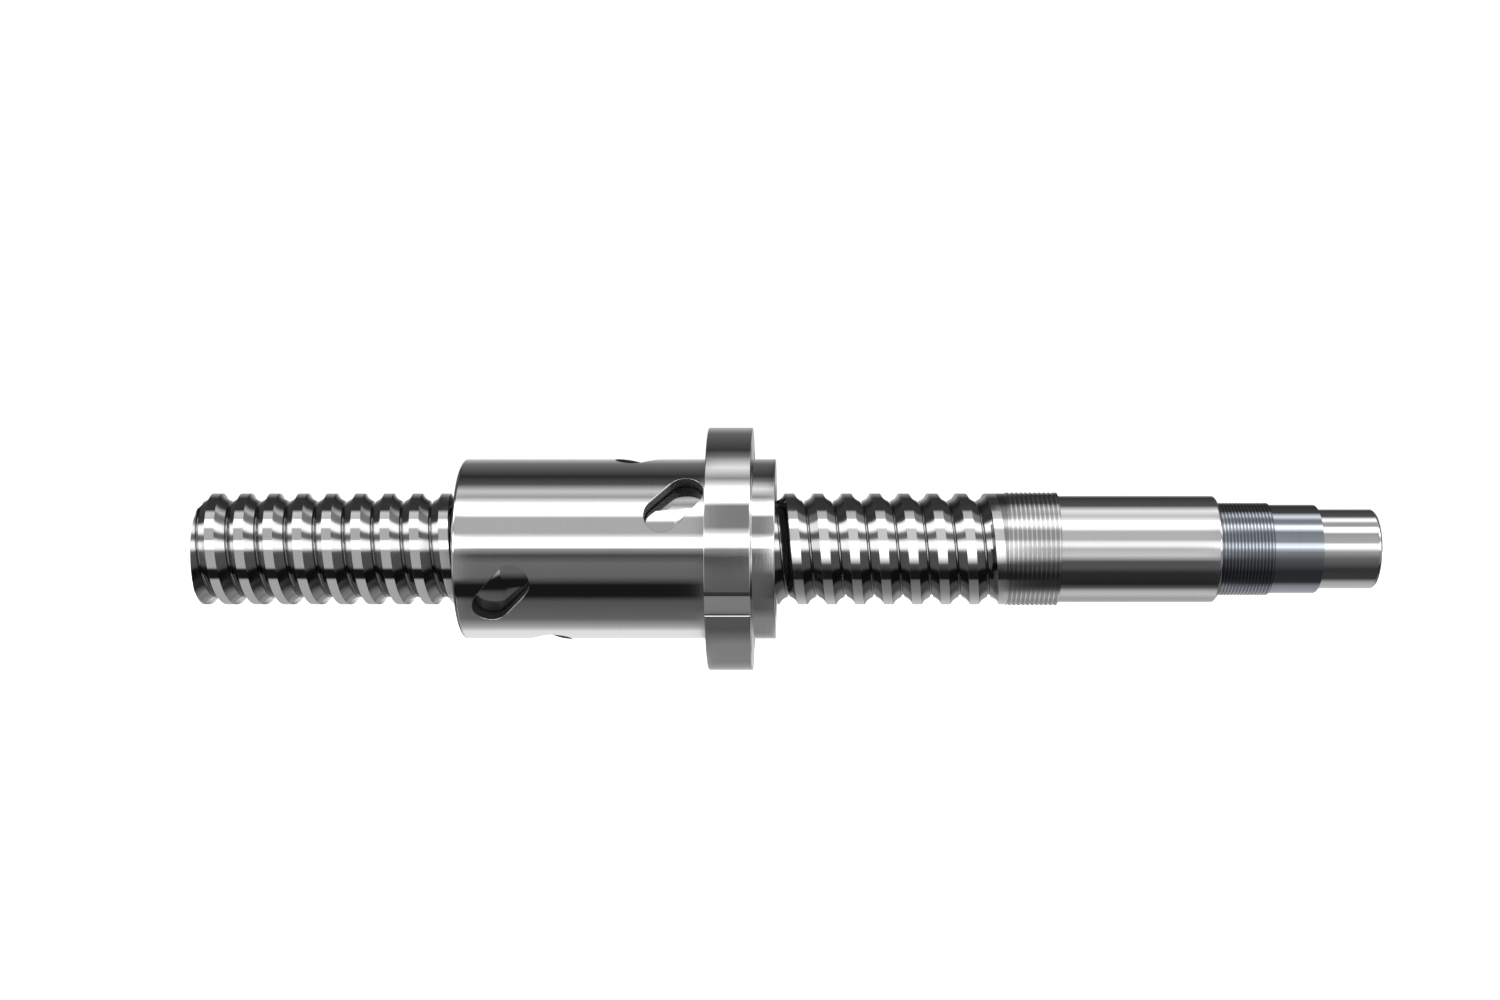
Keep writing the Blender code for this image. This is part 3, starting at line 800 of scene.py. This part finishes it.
# ------------------------------------------------- wipers, rings and the plug
for side_name, face, sign in (("left", NUT_LEFT, 1), ("right", NUT_RIGHT, -1)):
    a = face + sign * (RING_IN + RING_W + 0.3)
    b = face + sign * (RECESS - 0.3)
    prof = rounded([(a, 22.6, 0), (a, 24.1, 0.2), (b, 24.1, 0.2), (b, 20.6, 0.2), (a + sign * 1.6, 19.75, 0.1),
                    (a + sign * 0.9, 19.75, 0.1), (a + sign * 0.9, 21.2, 0.25), (a, 22.2, 0.3), (a, 22.6, 0)], 0.2, 3)
    prof[-1] = prof[0]
    wiper = finish_object(f"wiper_{side_name}_detail", revolve_bm(prof, 160), [M_WIPER])
    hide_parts(f"wiper_{side_name}")
    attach(wiper, "nut")

    x0 = face + sign * (RING_IN + 0.25)
    x1 = face + sign * (RING_IN + RING_W - 0.25)
    outline = []
    for i in range(121):
        outline.append((25.25, 98.0 + 344.0 * i / 120))
    for i in range(121):
        t = 442.0 - 344.0 * i / 120
        d = min(abs(t - 442.0), abs(t - 98.0))
        r = 22.9 - 0.0 * d
        if d < 7.0:
            r = 21.5
        elif d < 9.5:
            r = 21.5 + 1.4 * (d - 7.0) / 2.5
        outline.append((r, t))
    rows = [[polar(x, r, t) for r, t in outline] for x in (x0, x1)]
    ring = finish_object(f"retaining_ring_{side_name}_detail", loft_bm(rows), [M_RING])
    eyes = []
    for t in (101.5, 78.5):
        eye = revolve_bm([(x0 - 1.0, 0.55), (x0 + 2.5, 0.55)] if sign > 0 else [(x1 - 1.0, 0.55), (x1 + 2.5, 0.55)], 24)
        bmesh.ops.translate(eye, vec=polar(0, 22.55, t), verts=eye.verts[:])
        eyes.append(cutter(f"eye_{t}", eye))
    boolean(ring, eyes)
    ring.data.shade_smooth()
    ring.data.set_sharp_from_angle(angle=radians(30))
    bev = ring.modifiers.new("edge", "BEVEL")
    bev.width = 0.00008
    bev.segments = 2
    bev.limit_method = "ANGLE"
    bev.angle_limit = radians(60)
    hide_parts(f"wiper_retaining_ring_{side_name}")
    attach(ring, "retainers")

hexagon = [(cos(pi * i / 3), sin(pi * i / 3)) for i in range(6)]
plug = finish_object("lube_plug_detail", loft_bm(radial_prism(
    150.0, -20.0, circle, [(33.5, 3.2), (33.9, 3.6), (40.8, 3.6), (41.2, 3.2)])), [M_PLUG])
socket = cutter("s_plug", loft_bm(radial_prism(150.0, -20.0, hexagon, [(37.6, 2.3), (40.95, 2.3), (41.4, 2.75)])))
boolean(plug, [socket])
plug.data.shade_smooth()
plug.data.set_sharp_from_angle(angle=radians(30))
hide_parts("lube_port_plug")
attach(plug, "nut")

# --------------------------------------------------------- floor and lights
floor_mat, nt, bsdf = new_material("pale_floor")
bsdf.inputs["Base Color"].default_value = (0.9, 0.9, 0.9, 1)
bsdf.inputs["Roughness"].default_value = 0.9
bsdf.inputs["Emission Color"].default_value = (1, 1, 1, 1)
bsdf.inputs["Emission Strength"].default_value = 1.0
fbm = bmesh.new()
bmesh.ops.create_grid(fbm, x_segments=4, y_segments=4, size=30.0)
fme = bpy.data.meshes.new("floor")
fbm.to_mesh(fme)
fbm.free()
floor_ob = bpy.data.objects.new("floor", fme)
floor_ob.location = (0, 0, -0.0428)
fme.materials.append(floor_mat)
coll.objects.link(floor_ob)
floor_ob.visible_glossy = False
floor_ob.visible_shadow = False

world = bpy.data.worlds.new("studio")
bpy.context.scene.world = world
world.use_nodes = True
nt = world.node_tree
for n in list(nt.nodes):
    nt.nodes.remove(n)
out = nt.nodes.new("ShaderNodeOutputWorld")
tc = nt.nodes.new("ShaderNodeTexCoord")
sep = nt.nodes.new("ShaderNodeSeparateXYZ")
link(nt, tc.outputs["Generated"], sep.inputs[0])
ang = math_node(nt, "ARCTAN2", sep.outputs["Z"], math_node(nt, "MULTIPLY", sep.outputs["Y"], -1.0))
upper = math_node(nt, "DIVIDE", ang, pi)
lower = math_node(nt, "ADD", upper, 1.0)
above = math_node(nt, "GREATER_THAN", sep.outputs["Z"], 0.0)
SCALE = 4.0


def mix(fac, a, b):
    m = nt.nodes.new("ShaderNodeMix")
    m.data_type = "RGBA"
    link(nt, fac, m.inputs[0])
    link(nt, a, m.inputs[6])
    link(nt, b, m.inputs[7])
    return m.outputs[2]


def smooth(value, a, b):
    n = nt.nodes.new("ShaderNodeMapRange")
    n.interpolation_type = "SMOOTHSTEP"
    n.inputs["From Min"].default_value = a
    n.inputs["From Max"].default_value = b
    link(nt, value, n.inputs["Value"])
    return n.outputs["Result"]


def bands(low, high):
    """Strip lights parallel to the screw: (elevation about its axis, brightness)."""
    a = ramp(nt, lower, [((e + 180.0) / 180.0, (v / SCALE,) * 3) for e, v in low])
    b = ramp(nt, upper, [(e / 180.0, (v / SCALE,) * 3) for e, v in high])
    return mix(above, a, b)


# lamp edges: (elevation about the screw's axis in degrees, brightness)
LEFT = bands(
    [(-180, .6), (-150, .45), (-67, .45), (-62, .01), (-43, .01), (-38, .45), (-3, .45), (0, 1.2)],
    [(0, 1.2), (2, 2), (15, 2), (19, .5), (42, .5), (49, 2), (60, 2), (66, .6), (80, .7), (88, .04), (130, .04),
     (180, .6)])
NUT = bands(
    [(-180, 1.5), (-160, .9), (-130, .9), (-118, .45), (-100, .15), (-70, .1), (-62, .01), (-46, .01), (-35, .15),
     (-18, .17), (-8, .07), (0, .35)],
    [(0, .35), (5, 3), (11, 3), (15, 1), (20, .5), (40, .5), (49, 3), (57, 3), (61, 1.1), (69, .4), (78, .7),
     (90, .1), (105, .03), (140, .2), (180, .9)])
FLANGE = bands(
    [(-180, 1.2), (-154, .4), (-135, .25), (-100, .25), (-82, .1), (-24, .13), (-8, .08), (0, .3)],
    [(0, .3), (5, 3), (11, 3), (14, 1), (20, .25), (41, .25), (49, 3), (58, 3), (61, 1.1), (69, .3), (82, 1),
     (97, .2), (106, .05), (140, .15), (180, .7)])
RIGHT = bands(
    [(-180, .6), (-144, .6), (-100, .25), (-68, .15), (-64, .01), (-47, .01), (-32, .1), (-26, .6), (0, 2.4)],
    [(0, 2.4), (14, 2.4), (18, .7), (42, .7), (48, 2.4), (60, 2.4), (66, .6), (82, .5), (88, .04), (130, .04),
     (180, .5)])
JOURNAL = bands(
    [(-180, .5), (-134, .4), (-115, .6), (-104, .5), (-92, .1), (-82, .02), (-52, .03), (-40, .1), (-27, .1),
     (-14, .7), (0, .55)],
    [(0, .55), (8, 1.2), (14, 1.1), (20, .55), (38, .55), (50, 2), (60, 2), (65, 1.1), (75, .65), (90, 1),
     (107, .1), (147, .04), (180, .5)])
END = bands(
    [(-180, .7), (-125, .5), (-112, .4), (-96, .05), (-60, .04), (-45, .1), (-28, .15), (-8, .4), (0, 1)],
    [(0, 1), (4, 2), (12, 1.6), (18, .5), (45, .4), (57, 2.4), (61, 2.4), (67, .7), (72, .4), (81, .4), (92, 1.5),
     (99, .9), (108, .1), (145, .05), (180, .4)])

# grooves and other faces that look along the screw: elevation, steeper near the front
lean = math_node(nt, "POWER", math_node(nt, "MAXIMUM", math_node(nt, "ABSOLUTE", sep.outputs["X"]), 0.2), 0.6)
steep = math_node(nt, "DIVIDE", math_node(nt, "MULTIPLY", ang, 180.0 / pi), lean)
steep = math_node(nt, "MULTIPLY_ADD", steep, 1.0 / 440.0, 0.5)


def flank(patch):
    table = [(-220, .15), (-138, .15), (-124, .01), (-76, .01), (-64, .2), (-9, .2), (3, 3), (25, 3), (36, .3),
             (54, .3), (66, 3), (91, 3), (102, patch), (134, patch), (144, .1), (220, .1)]
    return ramp(nt, steep, [((e + 220.0) / 440.0, (v / SCALE,) * 3) for e, v in table])


side = mix(smooth(sep.outputs["X"], -0.05, 0.05), flank(.08), flank(.5))

across = sep.outputs["X"]
colour = LEFT
for edge, soft, zone in ((-0.1766, 0.003, NUT), (-0.0518, 0.002, FLANGE), (-0.0164, 0.0006, RIGHT),
                         (0.0995, 0.002, JOURNAL), (0.2053, 0.0015, END)):
    colour = mix(smooth(across, edge - soft, edge + soft), colour, zone)
spread = math_node(nt, "ABSOLUTE", across)
colour = mix(smooth(spread, 0.36, 0.50), colour, side)
end_glow = nt.nodes.new("ShaderNodeRGB")
end_glow.outputs[0].default_value = (0.55 / SCALE, 0.55 / SCALE, 0.56 / SCALE, 1)
colour = mix(smooth(spread, 0.92, 0.975), colour, end_glow.outputs[0])
scale = SCALE
bg = nt.nodes.new("ShaderNodeBackground")
bg.inputs["Strength"].default_value = scale
link(nt, colour, bg.inputs["Color"])
white = nt.nodes.new("ShaderNodeBackground")
white.inputs["Color"].default_value = (1, 1, 1, 1)
white.inputs["Strength"].default_value = 1.05
path = nt.nodes.new("ShaderNodeLightPath")
msh = nt.nodes.new("ShaderNodeMixShader")
link(nt, path.outputs["Is Camera Ray"], msh.inputs[0])
link(nt, bg.outputs[0], msh.inputs[1])
link(nt, white.outputs[0], msh.inputs[2])
link(nt, msh.outputs[0], out.inputs["Surface"])

bpy.context.scene.view_settings.view_transform = "Standard"
bpy.context.scene.view_settings.look = "None"

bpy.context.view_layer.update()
